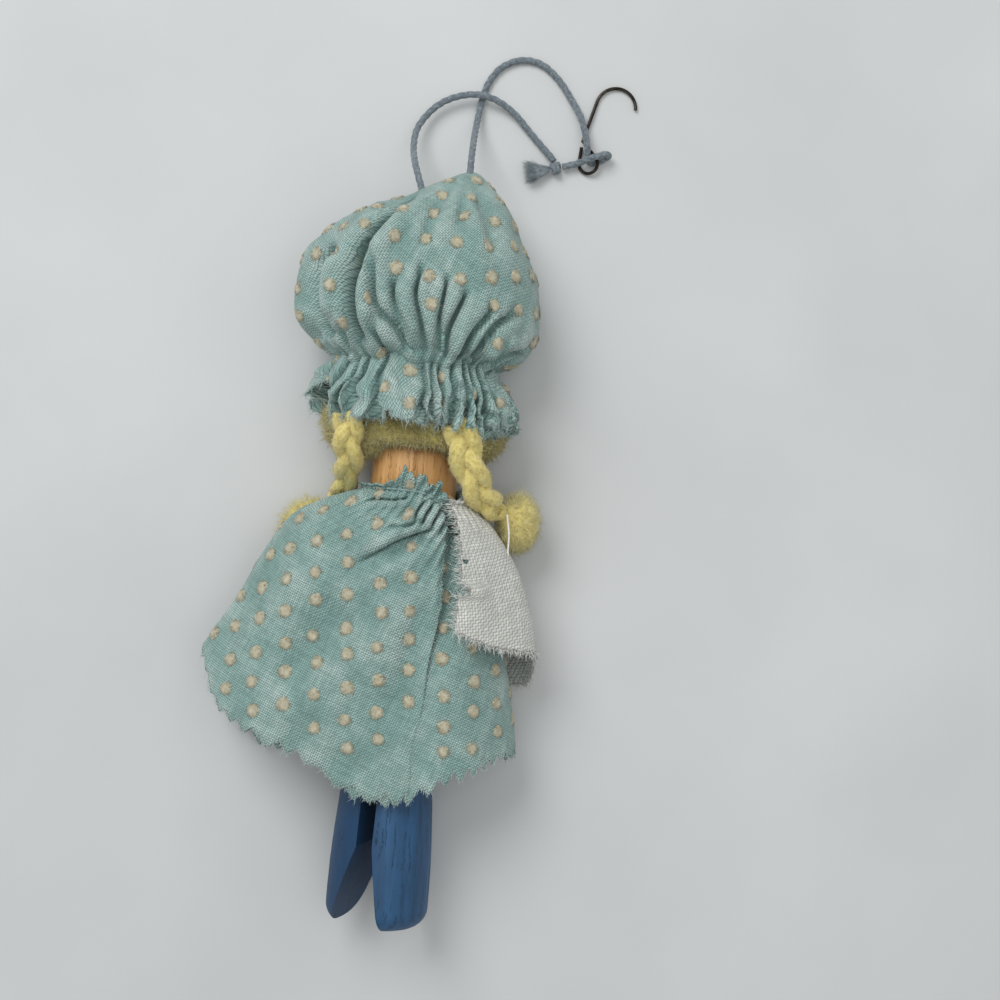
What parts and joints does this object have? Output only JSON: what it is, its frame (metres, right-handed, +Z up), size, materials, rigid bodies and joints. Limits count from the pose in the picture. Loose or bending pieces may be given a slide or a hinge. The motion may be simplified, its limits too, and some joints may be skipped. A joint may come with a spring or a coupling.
{
  "type": "clothespin doll",
  "caption": "Wooden clothespin doll ornament with a puffed dotted bonnet, plaited wool hair, a gathered skirt, an apron and a hanging cord with a wire hook, lying face down.",
  "frame": {"origin": "on the table, under the middle of the doll without its hanging cord", "axes": "+Z up from the table, +Y along the peg from its feet towards the bonnet, +X to the right as seen from above"},
  "size_m": [0.0657, 0.1502, 0.0255],
  "materials": {
    "peg_wood": "bare, legs painted matte blue",
    "hair_wool": "fuzzy",
    "dotted_cotton": "matte",
    "sewing_thread": "matte",
    "tie_yarn": "matte",
    "apron_cotton": "matte",
    "apron_thread": "matte",
    "cord_cotton": "matte",
    "hook_wire": "satin"
  },
  "bodies": {
    "doll": {"clothespin": "peg_wood", "hair": "hair_wool", "bonnet": "dotted_cotton", "bonnet_thread": "sewing_thread", "skirt": "dotted_cotton", "skirt_thread": "sewing_thread", "apron": "apron_cotton", "apron_thread": "apron_thread", "cord_left": "cord_cotton", "cord_inside": "cord_cotton", "cord_right": "cord_cotton", "cord_knot": "cord_cotton", "cord_tassel": "cord_cotton"},
    "left_braid": {"left_plait": "hair_wool", "left_tie": "tie_yarn", "left_tuft": "hair_wool"},
    "right_braid": {"right_plait": "hair_wool", "right_tie": "tie_yarn", "right_tuft": "hair_wool"},
    "hook_wire": {"hook": "hook_wire"}
  },
  "joints": [
    {"name": "left_braid_swing", "type": "hinge", "parent": "doll", "child": "left_braid", "pos_m": [-0.00608, 0.02115, 0.0185], "axis": [0, 0, -1], "range_deg": [0, 30]},
    {"name": "right_braid_swing", "type": "hinge", "parent": "doll", "child": "right_braid", "pos_m": [0.01262, 0.02265, 0.0195], "axis": [0, 0, 1], "range_deg": [0, 30]},
    {"name": "hook_swing", "type": "hinge", "parent": "doll", "child": "hook_wire", "pos_m": [0.03002, 0.06925, 0.00095], "axis": [0, 0, 1], "range_deg": [-30, 0]}
  ]
}
